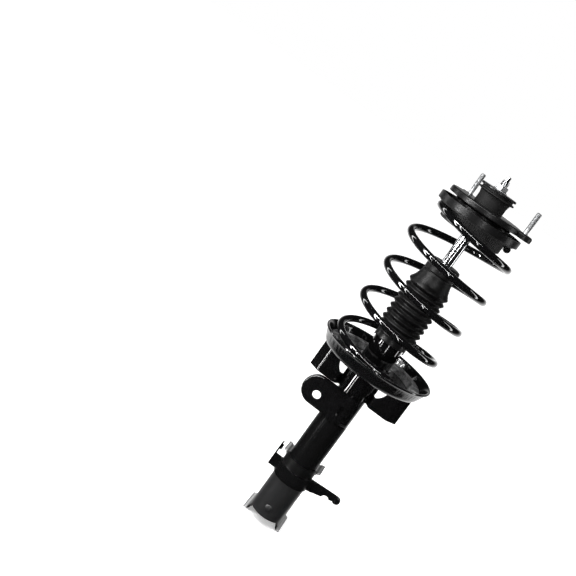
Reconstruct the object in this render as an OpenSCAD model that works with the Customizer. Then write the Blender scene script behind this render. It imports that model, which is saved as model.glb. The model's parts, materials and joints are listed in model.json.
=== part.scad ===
// Complete front suspension strut: top mount, bearing, coil spring and damper.
// Origin: centre of the mount plate's seating face, on the piston rod's axis. +Z points up the rod,
// and -Y is the outboard front, where the stabilizer bracket stands. Everything else hangs below z = 0.

/* [Top mount] */
// Radius of the mount plate's round part
plate_r = 62; // [56:1:70]
// Sheet thickness of the mount plate
plate_t = 3; // [2:0.5:4]
// Depth of the plate's turned-down lip
plate_lip_h = 9; // [6:0.5:11]
// Radius of the circle that the studs stand on
stud_circle_r = 67; // [64:1:74]
// Corner radius of the plate's lobe round each stud
lobe_r = 14; // [11:0.5:18]
// Diameter of the mounting studs
stud_d = 8; // [6:1:10]
// Height of the studs above the seating face
stud_h = 36; // [20:1:45]
// Depth of the lower mount shell under the plate
cup_h = 9.5; // [7:0.5:14]
// Radius of the rubber neck where it passes through the plate
neck_r = 24; // [21:0.5:28]
// Height of the rubber neck above the seating face
neck_h = 26; // [22:1:32]
// Radius of the washer on top of the neck
washer_r = 30; // [26:1:34]
// Thickness of the washer on top of the neck
washer_t = 3.5; // [2.5:0.5:5]

/* [Bearing] */
// Radius of the circle that the bearing balls run on
ball_circle_r = 40.5; // [36:0.5:44]
// Diameter of the bearing balls
ball_d = 5; // [4:0.5:6]
// Number of bearing balls
ball_count = 24; // [12:1:30]
// Thickness of each bearing race
race_t = 3; // [2.5:0.5:4]

/* [Coil spring] */
// Diameter of the spring wire
wire_d = 11.5; // [9:0.5:14]
// Mean radius of the working coils
spring_r = 75.6; // [66:0.5:92]
// Height of the fitted spring between its two pads
spring_h = 261; // [220:1:310]
// Degrees turned by the wire from its top end to its bottom end
spring_turn = 1730; // [1370:10:1900]
// Direction of the spring's top end, in degrees from +X
spring_start = 5; // [0:5:360]
// Sideways bow of the working coils
spring_bow = 2.5; // [0:0.5:4]

/* [Spring seats] */
// Outer radius of the rubber hub under the upper seat
hub_r = 51.6; // [46:0.5:60]
// Depth of the rubber hub below the upper seat's plateau
hub_h = 23.5; // [12:0.5:28]
// Sheet thickness of the upper seat
upper_sheet_t = 2.5; // [2:0.5:4]
// Height of the upper seat's turned-up rim
upper_rim_h = 11.5; // [6:0.5:12]
// Gap from the bottom coil to the lower seat's rim
rim_gap = 14.6; // [9:0.2:20]
// Sheet thickness of the lower seat
lower_sheet_t = 3.2; // [2.4:0.2:4]
// Height of the lower seat's rim above its underside
lower_rim_h = 25; // [18:1:30]
// Thickness of the rubber pad in the lower seat
lower_pad_t = 11; // [6:0.5:13]

/* [Damper] */
// Diameter of the piston rod
rod_d = 18; // [14:0.5:22]
// Diameter of the rod's threaded top
rod_thread_d = 12; // [10:1:13]
// Outer diameter of the reserve tube
tube_d = 50; // [42:1:60]
// Wall of the reserve tube
tube_wall = 2; // [1.5:0.5:3]
// Length of the reserve tube
tube_h = 412; // [360:1:480]
// Bore of the pressure tube
pressure_bore = 30; // [26:1:35]
// Wall of the pressure tube
pressure_wall = 1.2; // [1:0.1:2]
// Height of the piston
piston_h = 20; // [14:1:30]
// Travel from full extension until the boot meets the mount
travel = 90; // [70:1:100]
// Length of the bump stop
bump_stop_h = 70; // [50:1:75]

/* [Dust boot] */
// Outer radius of the boot's top cap
boot_cap_r = 26; // [24:0.5:29]
// Height of the boot's plain top part
boot_cap_h = 19; // [12:1:26]
// Depth of one fold of the bellows
fold_depth = 5; // [3:0.5:6]
// Height of one fold of the bellows
fold_pitch = 10; // [8:0.5:11]
// Number of folds
fold_count = 9; // [6:1:10]
// Wall of the boot
boot_wall = 1.4; // [1:0.1:2]
// Height of the boot's lower collar
collar_h = 14; // [10:1:18]

/* [Seat support] */
// Half of the support's overall width
support_half_w = 82; // [70:1:88]
// Height of the support below the lower seat
support_h = 49.5; // [35:0.5:60]
// Sheet thickness of the support
support_t = 3; // [2:0.5:4]
// How far the front panels stand in front of the tube's axis
support_out = 10; // [4:1:16]

/* [Stabilizer bracket] */
// Distance of the link hole from the tube's axis
link_x = 43; // [36:1:52]
// Diameter of the link hole
link_hole_d = 14; // [10:0.5:16]
// Height of the bracket
link_plate_h = 49; // [40:1:60]
// Sheet thickness of the bracket
link_plate_t = 4; // [3:0.5:5]
// Depth of the bracket's folded edge
link_edge = 9; // [6:1:12]

/* [Knuckle bracket] */
// Height of the bracket at its closed front
knuckle_h = 106.5; // [90:0.5:130]
// How far the ears' flat sides reach below the closed front
ear_drop = 7.5; // [4:0.5:14]
// How far the ears reach behind the tube's axis
ear_reach = 68; // [58:1:76]
// Sheet thickness of the bracket
knuckle_t = 3.5; // [2.5:0.5:5]
// Sheet thickness of the inner reinforcement
inner_t = 3; // [2:0.5:4]
// Diameter of the knuckle bolt holes
bolt_d = 14; // [12:0.5:16]
// Distance between the two knuckle bolt holes
bolt_spacing = 58; // [50:1:66]
// Distance of the bolt holes behind the tube's axis
bolt_y = 48; // [42:1:52]
// How far the ears' edges flare outwards
flare = 8; // [5:0.5:10]

/* [Hose bracket] */
// Height of the strap round the knuckle bracket
strap_h = 22; // [16:1:28]
// Sheet thickness of the strap
strap_t = 2.5; // [2:0.5:3]
// Distance of the strap's top below the knuckle bracket's top
strap_drop = 16; // [12:1:30]
// Reach of the short tab from the tube's axis
tab_x = 44; // [38:1:52]
// Reach of the long arm from the tube's axis
arm_x = 86; // [74:1:98]
// Radius of the wire clip's hole
clip_hole_r = 3.2; // [2.5:0.1:4]

/* [Clearances] */
// Radial clearance of a shaft that runs in a bore
run_gap = 0.05; // [0.02:0.01:0.1]
// Gap between parts that pass each other
pass_gap = 0.5; // [0.3:0.1:1]

/* [Hidden] */
$fn = 64;
eps = 1;

// Radii that follow from the sizes above
stud_angles = [-10.5, 121];
stud_knurl_r = stud_d / 2 + 0.3;
stud_head_r = stud_knurl_r + 2.5;
stud_head_t = 2.5;
rod_r = rod_d / 2;
thread_r = rod_thread_d / 2;
tube_r = tube_d / 2;
tube_in_r = tube_r - tube_wall;
pressure_r = pressure_bore / 2;
ball_r = ball_d / 2;
wire_r = wire_d / 2;
sleeve_r = thread_r + 7;
cup_wall = 2.5;
cup_r = min(plate_r - 9, ball_circle_r + 12.5);
cup_flange_r = min(plate_r - plate_t, stud_circle_r - stud_head_r) - 1;
cup_hole_r = max(rod_r, sleeve_r) + 3;
race_in_r = ball_circle_r - 7.5;
race_out_r = ball_circle_r + 7.5;
seat_hole_r = race_in_r - 3;
top_coil_r = hub_r + 1.9 + wire_r;
upper_seat_r = top_coil_r + wire_r + 5;
lower_seat_r = spring_r + wire_r + rim_gap;
lower_floor_r = lower_seat_r - 12;
pad_r = spring_r + wire_r + 2;
end_cap_t = 1.2;
boot_in_r = tube_r + end_cap_t + pass_gap;
fold_crest_r = boot_in_r + boot_wall + fold_depth + 1.5;
fold_valley_r = fold_crest_r - fold_depth;
knuckle_r = tube_r + knuckle_t;

// Heights, from the seating face down
shoulder_z = -plate_t - 5;
cup_z = -plate_t - cup_h;
lower_race_z = cup_z - race_t - 0.7 * ball_d;
plateau_z = lower_race_z - race_t;
plateau_step = 2;
upper_floor_z = plateau_z - plateau_step;
upper_under_z = upper_floor_z - upper_sheet_t;
upper_pad_t = 2.2;
spring_top_z = upper_under_z - upper_pad_t;
spring_bottom_z = spring_top_z - spring_h;
lower_floor_z = spring_bottom_z - lower_pad_t;
lower_under_z = lower_floor_z - lower_sheet_t;
boot_top_z = cup_z - travel - 1.1;
bump_top_z = boot_top_z - 2;
bump_bottom_z = bump_top_z - bump_stop_h;
cap_t = 2.4;
tube_top_z = bump_bottom_z - cap_t;
tube_bottom_z = tube_top_z - tube_h;
crimp_t = 2;
seal_h = 8;
guide_top_z = tube_top_z - crimp_t - seal_h;
guide_h = 12;
spigot_h = 8;
pressure_top_z = guide_top_z - guide_h;
guide_bottom_z = pressure_top_z - spigot_h;
rebound_top_z = guide_bottom_z - 0.4;
rebound_h = 12;
piston_top_z = rebound_top_z - rebound_h - 20;
piston_bottom_z = piston_top_z - piston_h;
base_t = 6;
valve_h = 8;
pressure_bottom_z = tube_bottom_z + base_t + valve_h;
support_z = lower_under_z - support_h;
link_top_z = support_z + 2.5;
link_mid_z = link_top_z - link_plate_h / 2;
link_hole_z = link_mid_z - 5;
knuckle_bottom_z = tube_bottom_z - 6.5;
knuckle_top_z = knuckle_bottom_z + knuckle_h;
ear_bottom_z = knuckle_bottom_z - ear_drop;
ear_top_z = knuckle_top_z - 2 - flare;
bolt_mid_z = (ear_top_z + ear_bottom_z) / 2;
strap_top_z = knuckle_top_z - strap_drop;
strap_z = strap_top_z - strap_h;
folds_top_z = boot_top_z - boot_cap_h - 24;
folds_bottom_z = folds_top_z - fold_count * fold_pitch;
collar_z = folds_bottom_z - collar_h;

// A ring or tube standing on z
module ring(outer_r, inner_r, z, h) {
    translate([0, 0, z]) difference() {
        cylinder(r = outer_r, h = h);
        translate([0, 0, -eps]) cylinder(r = inner_r, h = h + 2 * eps);
    }
}

// A hexagon nut with a round bore, standing on z
module hex_nut(across_flats, bore_r, z, h) {
    translate([0, 0, z]) difference() {
        cylinder(r = across_flats / sqrt(3), h = h, $fn = 6);
        translate([0, 0, -eps]) cylinder(r = bore_r, h = h + 2 * eps);
    }
}

// A path moved sideways by gap, with mitred corners
function unit(v) = v / norm(v);
function left_of(v) = [-v[1], v[0]];
function moved(path, gap) = [
    for (i = [0 : len(path) - 1])
        let (
            before = unit(path[max(i, 1)] - path[max(i, 1) - 1]),
            after = i < len(path) - 1 ? unit(path[i + 1] - path[i]) : before,
            middle = unit(before + after)
        )
        path[i] + left_of(middle) * gap / (middle * before)
];

// The section of a bent sheet whose middle follows a path
module strip(path, t) {
    near = moved(path, t / 2);
    far = moved(path, -t / 2);
    polygon(concat(near, [for (i = [len(far) - 1 : -1 : 0]) far[i]]));
}

// An outline drawn in X and Z, made as thick as it reaches from y to y + t
module upright(y, t) {
    translate([0, y + t, 0]) rotate([90, 0, 0]) linear_extrude(t) children();
}

// An outline drawn in Y and Z, made as thick as it reaches from x to x + t
module sideways(x, t) {
    translate([x, 0, 0]) rotate([90, 0, 90]) linear_extrude(t) children();
}

module both_sides() {
    children();
    mirror([1, 0, 0]) children();
}

// ---- Top mount ----

module plate_outline(grow) {
    circle(r = plate_r + grow);
    for (angle = stud_angles) rotate(angle) {
        translate([stud_circle_r, 0]) circle(r = lobe_r + grow);
        translate([0, -lobe_r - grow]) square([stud_circle_r, 2 * (lobe_r + grow)]);
    }
}

module at_studs() {
    for (angle = stud_angles) rotate(angle) translate([stud_circle_r, 0, 0]) children();
}

module mount_plate() {
    pocket_h = plate_lip_h - plate_t;
    color("#1b1b1d") difference() {
        translate([0, 0, -plate_lip_h]) linear_extrude(plate_lip_h) plate_outline(0);
        translate([0, 0, -plate_lip_h - eps]) linear_extrude(pocket_h + eps) plate_outline(-plate_t);
        translate([0, 0, -plate_t - eps]) cylinder(r = neck_r, h = plate_t + 2 * eps);
        at_studs() translate([0, 0, -plate_t - eps]) cylinder(r = stud_knurl_r, h = plate_t + 2 * eps);
    }
}

module mount_studs() {
    chamfer = stud_d / 8;
    color("#c9cbcd") at_studs() {
        translate([0, 0, -plate_t - stud_head_t]) cylinder(r = stud_head_r, h = stud_head_t);
        translate([0, 0, -plate_t]) cylinder(r = stud_knurl_r, h = plate_t);
        cylinder(d = stud_d, h = stud_h - chamfer);
        translate([0, 0, stud_h - chamfer])
            cylinder(r1 = stud_d / 2, r2 = stud_d / 2 - chamfer, h = chamfer);
    }
}

module mount_cup() {
    color("#161617") rotate_extrude() polygon([
        [cup_flange_r, -plate_t],
        [cup_flange_r, -plate_t - cup_wall],
        [cup_r, -plate_t - cup_wall],
        [cup_r - 6, cup_z],
        [cup_hole_r, cup_z],
        [cup_hole_r, cup_z + cup_wall],
        [cup_r - 6 - cup_wall, cup_z + cup_wall],
        [cup_r - cup_wall, -plate_t]
    ]);
}

module mount_rubber() {
    rib_z = neck_h - 6;
    color("#222224") rotate_extrude() polygon([
        [sleeve_r, cup_z + cup_wall],
        [cup_r - 6 - cup_wall, cup_z + cup_wall],
        [cup_r - cup_wall, -plate_t],
        [neck_r, -plate_t],
        [neck_r, neck_h * 0.45],
        [neck_r + 1.5, rib_z - 1],
        [washer_r + 0.5, rib_z],
        [washer_r + 0.5, rib_z + 2],
        [neck_r + 2.5, rib_z + 3],
        [neck_r + 2.5, neck_h],
        [sleeve_r, neck_h]
    ]);
}

module mount_sleeve() {
    color("#8c8f93") ring(sleeve_r, thread_r, shoulder_z, neck_h - shoulder_z);
}

module top_washer() {
    edge = 0.8;
    color("#1a1a1b") rotate_extrude() polygon([
        [thread_r, neck_h],
        [washer_r, neck_h],
        [washer_r, neck_h + washer_t - edge],
        [washer_r - edge, neck_h + washer_t],
        [thread_r, neck_h + washer_t]
    ]);
}

module rod_nut() {
    flange_h = 2;
    nut_h = 9;
    color("#b9bcc0") {
        ring(thread_r * 1.9, thread_r, neck_h + washer_t, flange_h);
        hex_nut(thread_r * 3, thread_r, neck_h + washer_t + flange_h, nut_h - flange_h);
    }
}

module piston_rod() {
    thread_top_z = neck_h + washer_t + 17.5;
    hex_h = 7;
    tail_z = piston_bottom_z - 14;
    color("#d8dadd") {
        translate([0, 0, piston_top_z]) cylinder(r = rod_r, h = shoulder_z - piston_top_z);
        translate([0, 0, shoulder_z]) cylinder(r = thread_r, h = thread_top_z - shoulder_z);
        translate([0, 0, thread_top_z]) cylinder(r = thread_r * 0.6, h = hex_h, $fn = 6);
        translate([0, 0, tail_z]) cylinder(r = thread_r, h = piston_top_z - tail_z);
    }
}

// ---- Bearing ----

module ball_groove() {
    rotate_extrude() translate([ball_circle_r, cup_z - race_t - 0.35 * ball_d])
        circle(r = ball_r + run_gap);
}

module bearing_upper_race() {
    skirt_t = 1.5;
    color("#3a3a3d") difference() {
        union() {
            ring(race_out_r, race_in_r, cup_z - race_t, race_t);
            ring(race_out_r, race_out_r - skirt_t, cup_z - race_t - 2.2, race_t + 2.2);
        }
        ball_groove();
    }
}

module bearing_lower_race() {
    color("#3a3a3d") difference() {
        ring(race_out_r - 2.5, race_in_r, plateau_z, race_t);
        ball_groove();
    }
}

module at_balls() {
    for (i = [0 : ball_count - 1]) rotate(i * 360 / ball_count)
        translate([ball_circle_r, 0, cup_z - race_t - 0.35 * ball_d]) children();
}

module bearing_cage() {
    cage_t = 0.4 * ball_d;
    cage_z = cup_z - race_t - 0.35 * ball_d - cage_t / 2;
    color("#d9d4c4") difference() {
        ring(ball_circle_r + 4.5, ball_circle_r - 4.5, cage_z, cage_t);
        at_balls() translate([0, 0, -ball_r]) cylinder(r = ball_r + run_gap, h = ball_d, $fn = 24);
    }
}

module bearing_balls() {
    color("#e2e4e6") at_balls() sphere(r = ball_r, $fn = 24);
}

// ---- Upper seat ----

module upper_spring_seat() {
    step_r = hub_r + 1.4;
    color("#151516") rotate_extrude() polygon([
        [seat_hole_r, plateau_z],
        [step_r, plateau_z],
        [step_r + 4, upper_floor_z],
        [upper_seat_r - upper_sheet_t, upper_floor_z],
        [upper_seat_r - upper_sheet_t, upper_under_z + upper_rim_h],
        [upper_seat_r, upper_under_z + upper_rim_h],
        [upper_seat_r, upper_under_z],
        [step_r + 4, upper_under_z],
        [step_r, plateau_z - upper_sheet_t],
        [seat_hole_r, plateau_z - upper_sheet_t]
    ]);
}

module upper_insulator() {
    hub_bore_r = max(fold_crest_r + 0.8, seat_hole_r);
    hub_top_z = plateau_z - upper_sheet_t;
    step_r = hub_r + 1.4;
    color("#262628") rotate_extrude() polygon([
        [hub_bore_r, hub_top_z],
        [step_r, hub_top_z],
        [step_r + 4, upper_under_z],
        [top_coil_r + wire_r, upper_under_z],
        [top_coil_r + wire_r, spring_top_z],
        [hub_r, spring_top_z],
        [hub_r, hub_top_z - hub_h + 1],
        [hub_r - 1, hub_top_z - hub_h],
        [hub_bore_r, hub_top_z - hub_h]
    ]);
}

// ---- Coil spring ----

// The wire lies flat for dead_turn at its top end and for the last few degrees at its bottom end.
dead_turn = 187;
ease_turn = 36;
ring_step = 12;
wire_sides = 12;
ring_count = floor(spring_turn / ring_step);
slope_end = spring_turn - ease_turn;

// Starts flat and ends with a slope of one
function eased(turn) = turn <= 0 ? 0
    : turn < ease_turn ? turn * turn / (2 * ease_turn)
    : turn - ease_turn / 2;
function smooth(x) = let (u = min(1, max(0, x))) u * u * (3 - 2 * u);
function fall(turn) = (eased(turn - dead_turn) - eased(turn - slope_end)) / (slope_end - dead_turn);
function opening(turn) = smooth((turn - dead_turn + 12) / 168);
function coil_radius(turn) = top_coil_r + (spring_r - top_coil_r) * opening(turn);
function wire_point(turn, side) =
    let (
        angle = spring_start + turn,
        radius = coil_radius(turn) + wire_r * cos(side),
        lean = spring_bow * opening(turn) * cos(180 * fall(turn))
    )
    [
        radius * cos(angle) + lean,
        radius * sin(angle),
        spring_top_z - wire_r - (spring_h - wire_d) * fall(turn) + wire_r * sin(side)
    ];

module coil_spring() {
    points = [
        for (i = [0 : ring_count], k = [0 : wire_sides - 1])
            wire_point(i * spring_turn / ring_count, k * 360 / wire_sides)
    ];
    walls = [
        for (i = [0 : ring_count - 1], k = [0 : wire_sides - 1])
            let (next = (k + 1) % wire_sides, here = i * wire_sides, there = here + wire_sides)
            [here + k, here + next, there + next, there + k]
    ];
    top_end = [for (k = [wire_sides - 1 : -1 : 0]) k];
    bottom_end = [for (k = [0 : wire_sides - 1]) ring_count * wire_sides + k];
    color("#101011") polyhedron(points, concat(walls, [top_end, bottom_end]));
}

// ---- Bump stop and boot ----

module bump_stop() {
    stop_r = boot_cap_r - boot_wall - 2.5;
    waist_r = stop_r - 3.5;
    bore_r = rod_r + pass_gap;
    third = bump_stop_h / 3;
    color("#8f8a72") rotate_extrude() polygon([
        [bore_r, bump_bottom_z],
        [stop_r, bump_bottom_z],
        [stop_r, bump_bottom_z + third - 4],
        [waist_r, bump_bottom_z + third],
        [stop_r, bump_bottom_z + third + 4],
        [stop_r, bump_bottom_z + 2 * third - 4],
        [waist_r, bump_bottom_z + 2 * third],
        [stop_r, bump_bottom_z + 2 * third + 4],
        [stop_r, bump_top_z],
        [bore_r, bump_top_z]
    ]);
}

// Half the boot's outline, from its top edge to its lower end, at a distance in from the skin
function boot_outline(inset) = concat(
    [
        [boot_cap_r - 4, boot_top_z - inset],
        [boot_cap_r - 1.2, boot_top_z - 1.2 - inset],
        [boot_cap_r - inset, boot_top_z - 4],
        [boot_cap_r - inset, boot_top_z - boot_cap_h],
        [boot_cap_r - 1.2 - inset, boot_top_z - boot_cap_h - 1.5],
        [boot_cap_r - inset, boot_top_z - boot_cap_h - 3],
        [fold_valley_r + 1.5 - inset, folds_top_z + 3]
    ],
    [
        for (i = [0 : fold_count - 1], half = [0, 1])
            [
                (half == 0 ? fold_crest_r : fold_valley_r) - inset,
                folds_top_z - (i + 0.15 + half / 2) * fold_pitch
            ]
    ],
    [[tube_r + boot_wall + 0.1 - inset, folds_bottom_z]]
);

module dust_boot() {
    skin = boot_outline(0);
    lining = boot_outline(boot_wall);
    last = len(lining) - 1;
    color("#1d1d1f") rotate_extrude() polygon(concat(
        [[rod_r + pass_gap + 1, boot_top_z]],
        skin,
        [[tube_r + boot_wall + 0.1, collar_z], [tube_r + 0.1, collar_z]],
        [for (i = [last : -1 : 2]) lining[i]],
        [[boot_cap_r - boot_wall, bump_top_z], [rod_r + pass_gap + 1, bump_top_z]]
    ));
}

module boot_collar() {
    collar_t = 1.4;
    color("#4a4a4d") ring(tube_r + boot_wall + 0.1 + collar_t, tube_r + boot_wall + 0.1,
        collar_z, collar_h - 1);
}

// ---- Damper ----

module end_cap() {
    skirt_h = 12;
    color("#242425") {
        ring(tube_r + end_cap_t, rod_r + 2, tube_top_z, cap_t);
        ring(tube_r + end_cap_t, tube_r, tube_top_z - skirt_h, skirt_h);
    }
}

module reserve_tube() {
    crimp_r = tube_in_r - 4;
    color("#0f0f10") rotate_extrude() polygon([
        [tube_in_r, tube_bottom_z],
        [tube_r, tube_bottom_z],
        [tube_r, tube_top_z],
        [crimp_r, tube_top_z],
        [crimp_r, tube_top_z - crimp_t],
        [tube_in_r, tube_top_z - crimp_t]
    ]);
}

module base_cup() {
    color("#19191a") translate([0, 0, tube_bottom_z]) cylinder(r = tube_in_r, h = base_t);
}

module rod_seal() {
    color("#2a2a2c") ring(tube_in_r, rod_r + run_gap, guide_top_z, seal_h);
}

module rod_guide() {
    color("#8a8c8f") difference() {
        union() {
            translate([0, 0, pressure_top_z]) cylinder(r = tube_in_r, h = guide_h);
            translate([0, 0, guide_bottom_z]) cylinder(r = pressure_r, h = spigot_h);
        }
        translate([0, 0, guide_bottom_z - eps])
            cylinder(r = rod_r + run_gap, h = guide_h + spigot_h + 2 * eps);
    }
}

module rebound_stop() {
    color("#3d3d40") ring(pressure_r - 1.5, rod_r, rebound_top_z - rebound_h, rebound_h);
}

module piston() {
    band_depth = 1;
    band_h = piston_h / 2;
    color("#9a9ca0") difference() {
        ring(pressure_r - 2 * run_gap, thread_r, piston_bottom_z, piston_h);
        ring(pressure_r + eps, pressure_r - band_depth, piston_bottom_z + band_h / 2, band_h);
    }
}

module piston_band() {
    color("#4f5a52") ring(pressure_r - run_gap, pressure_r - 1, piston_bottom_z + piston_h / 4,
        piston_h / 2);
}

module piston_nut() {
    nut_h = 9;
    color("#a8abb0") hex_nut(thread_r * 3, thread_r, piston_bottom_z - nut_h, nut_h);
}

module pressure_tube() {
    color("#9fa2a6") ring(pressure_r + pressure_wall, pressure_r, pressure_bottom_z,
        pressure_top_z - pressure_bottom_z);
}

module base_valve() {
    spigot = 7;
    color("#b08d4a") {
        translate([0, 0, pressure_bottom_z - valve_h])
            cylinder(r = pressure_r + pressure_wall, h = valve_h);
        translate([0, 0, pressure_bottom_z]) cylinder(r = pressure_r, h = spigot);
    }
}

// ---- Lower seat and its support ----

module lower_spring_seat() {
    rim_z = lower_under_z + lower_rim_h;
    hub_z = lower_floor_z + 12;
    t = lower_sheet_t;
    color("#141415") rotate_extrude() polygon([
        [tube_r, lower_under_z],
        [lower_floor_r - 4, lower_under_z],
        [lower_floor_r, lower_under_z + 2],
        [lower_floor_r + 3, lower_under_z + 6],
        [lower_seat_r - 3, rim_z - 5],
        [lower_seat_r, rim_z - 3],
        [lower_seat_r, rim_z],
        [lower_seat_r - t, rim_z],
        [lower_seat_r - t - 3, rim_z - 4],
        [lower_floor_r, lower_under_z + 8],
        [lower_floor_r - 4, lower_floor_z],
        [tube_r + t + 3, lower_floor_z],
        [tube_r + t, lower_floor_z + 4],
        [tube_r + t, hub_z],
        [tube_r, hub_z]
    ]);
}

module lower_insulator() {
    pad_in_r = 2 * spring_r - pad_r;
    color("#4b4b4e") rotate_extrude() polygon([
        [pad_in_r, lower_floor_z],
        [min(pad_r, lower_floor_r - 4), lower_floor_z],
        [pad_r - 1, spring_bottom_z],
        [pad_in_r + 2, spring_bottom_z]
    ]);
}

module seat_support() {
    bend_in = tube_r + 8;
    bend_out = support_half_w - 17;
    cut_w = 18;
    cut_h = 32;
    half_t = support_t / 2;
    root_angle = 10;
    root_r = tube_r + half_t;
    wing = [
        [root_r * cos(root_angle), root_r * sin(root_angle)],
        [bend_in, -support_out],
        [bend_out, -support_out],
        [support_half_w - half_t, 3]
    ];
    color("#17171a") difference() {
        translate([0, 0, support_z]) {
            intersection() {
                cylinder(r = tube_r + support_t, h = support_h);
                translate([-2 * tube_r, 0, 0]) cube([4 * tube_r, 2 * tube_r, support_h]);
            }
            both_sides() linear_extrude(support_h) strip(wing, support_t);
        }
        translate([0, 0, support_z - eps]) cylinder(r = tube_r, h = support_h + 2 * eps);
        both_sides() translate([tube_r + support_t + 0.6, 0, lower_under_z + eps])
            upright(-support_out - 10, support_out + 10) polygon(concat(
                [[0, 0]],
                [for (a = [0 : 10 : 90]) [cut_w * cos(a), -cut_h * sin(a)]]
            ));
    }
}

// ---- Stabilizer link bracket ----

module link_outline(inset) {
    half = link_plate_h / 2 - inset;
    translate([-link_x - 4, link_mid_z]) circle(r = half);
    translate([-link_x - 4, link_mid_z - half]) square([link_x + 4 + tube_r / 2, 2 * half]);
}

module stabilizer_bracket() {
    plate_y = -tube_r - link_plate_t;
    wrap_end = -66;
    slot_w = 6;
    slot_h = 18;
    color("#131314") difference() {
        union() {
            intersection() {
                upright(-2 * tube_r, 2 * tube_r) link_outline(0);
                translate([0, 0, link_top_z - link_plate_h]) linear_extrude(link_plate_h) {
                    translate([-link_x - 40, plate_y]) square([link_x + 40, link_plate_t]);
                    intersection() {
                        difference() {
                            circle(r = tube_r + link_plate_t);
                            circle(r = tube_r);
                        }
                        polygon([[0, 0], [0, -2 * tube_r],
                            [2 * tube_r * cos(wrap_end), 2 * tube_r * sin(wrap_end)]]);
                    }
                }
            }
            upright(plate_y, link_edge) difference() {
                link_outline(0);
                link_outline(link_plate_t);
                translate([0, link_mid_z - link_plate_h]) square([tube_d, 2 * link_plate_h]);
            }
        }
        translate([0, 0, link_top_z - link_plate_h - eps])
            cylinder(r = tube_r, h = link_plate_h + 2 * eps);
        translate([-link_x, plate_y - eps, link_hole_z]) rotate([-90, 0, 0])
            cylinder(d = link_hole_d, h = link_plate_t + 2 * eps);
        upright(plate_y - eps, link_plate_t + eps) translate([1, link_mid_z - 4]) {
            translate([0, (slot_h - slot_w) / 2]) circle(d = slot_w);
            translate([0, -(slot_h - slot_w) / 2]) circle(d = slot_w);
            square([slot_w, slot_h - slot_w], center = true);
        }
    }
}

// ---- Knuckle bracket ----

// A channel round the tube's front, closed at -Y and open at +Y
module channel(outer_r, inner_r, reach) {
    difference() {
        union() {
            circle(r = outer_r);
            translate([-outer_r, 0]) square([2 * outer_r, reach]);
        }
        circle(r = inner_r);
        translate([-inner_r, 0]) square([2 * inner_r, reach + eps]);
    }
}

// The ears as seen from the side, in Y and Z
module ear_profile(front_y) {
    corner = 10;
    polygon([
        [front_y, knuckle_top_z],
        [-4, knuckle_top_z],
        [2, ear_top_z],
        [ear_reach - corner, ear_top_z],
        [ear_reach, ear_top_z - corner],
        [ear_reach, ear_bottom_z + corner],
        [ear_reach - corner, ear_bottom_z],
        [-6, ear_bottom_z],
        [-12, knuckle_bottom_z],
        [front_y, knuckle_bottom_z]
    ]);
}

module bolt_holes(reach) {
    for (side = [-1, 1])
        translate([-reach, bolt_y, bolt_mid_z + side * bolt_spacing / 2])
            rotate([0, 90, 0]) cylinder(d = bolt_d, h = 2 * reach);
}

// The edge of an ear, curled outwards along Y from y0 to y1
module ear_flare(y0, y1, z, upward) {
    curl_r = flare;
    translate([knuckle_r - knuckle_t, y0, z]) mirror([0, 0, upward ? 0 : 1])
        translate([curl_r, y1 - y0, 0]) rotate([90, 0, 0]) linear_extrude(y1 - y0)
            intersection() {
                difference() {
                    circle(r = curl_r);
                    circle(r = curl_r - knuckle_t);
                }
                polygon([[0, 0], [-2 * curl_r, 0], [-2 * curl_r, 2 * curl_r], [0.6 * curl_r, 2 * curl_r]]);
            }
}

module knuckle_bracket() {
    dimple_r = 10;
    dimple_out = 2.4;
    curl = flare - 1;
    color("#2c2c2e") difference() {
        union() {
            intersection() {
                translate([0, 0, ear_bottom_z]) linear_extrude(knuckle_top_z - ear_bottom_z)
                    channel(knuckle_r, tube_r, ear_reach);
                sideways(-knuckle_r - eps, 2 * (knuckle_r + eps)) ear_profile(-knuckle_r - eps);
            }
            both_sides() {
                ear_flare(2, ear_reach - 24, ear_top_z - 0.1, true);
                ear_flare(-6, ear_reach - 10, ear_bottom_z + 0.1, false);
            }
            translate([0, -knuckle_r + dimple_r - dimple_out, knuckle_bottom_z + 17])
                sphere(r = dimple_r);
        }
        translate([0, 0, ear_bottom_z - 2 * curl]) cylinder(r = tube_r, h = knuckle_h + 4 * curl + 20);
        bolt_holes(knuckle_r + eps);
    }
}

module knuckle_reinforcement() {
    edge = 6;
    low_z = ear_bottom_z + edge;
    high_z = ear_top_z - edge;
    color("#232325") difference() {
        translate([0, 0, low_z]) linear_extrude(high_z - low_z) difference() {
            translate([-tube_r, tube_r]) square([2 * tube_r, ear_reach - edge - tube_r]);
            translate([-tube_r + inner_t, tube_r + inner_t])
                square([2 * (tube_r - inner_t), ear_reach]);
        }
        bolt_holes(tube_r + eps);
    }
}

// ---- Hose bracket ----

module arm_outline() {
    hook_r = 7;
    notch_r = 7;
    notch_x = arm_x - 2 * hook_r - notch_r - 2;
    difference() {
        union() {
            polygon([
                [knuckle_r - 2, strap_top_z],
                [arm_x - 14, strap_top_z + 3],
                [arm_x - hook_r, strap_top_z + 3],
                [arm_x - hook_r, strap_top_z - 8],
                [notch_x - notch_r - 4, strap_z + 7],
                [knuckle_r - 2, strap_z]
            ]);
            translate([arm_x - hook_r, strap_top_z + 3 - hook_r]) circle(r = hook_r);
        }
        translate([notch_x, strap_z + 7]) circle(r = notch_r);
    }
}

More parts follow.
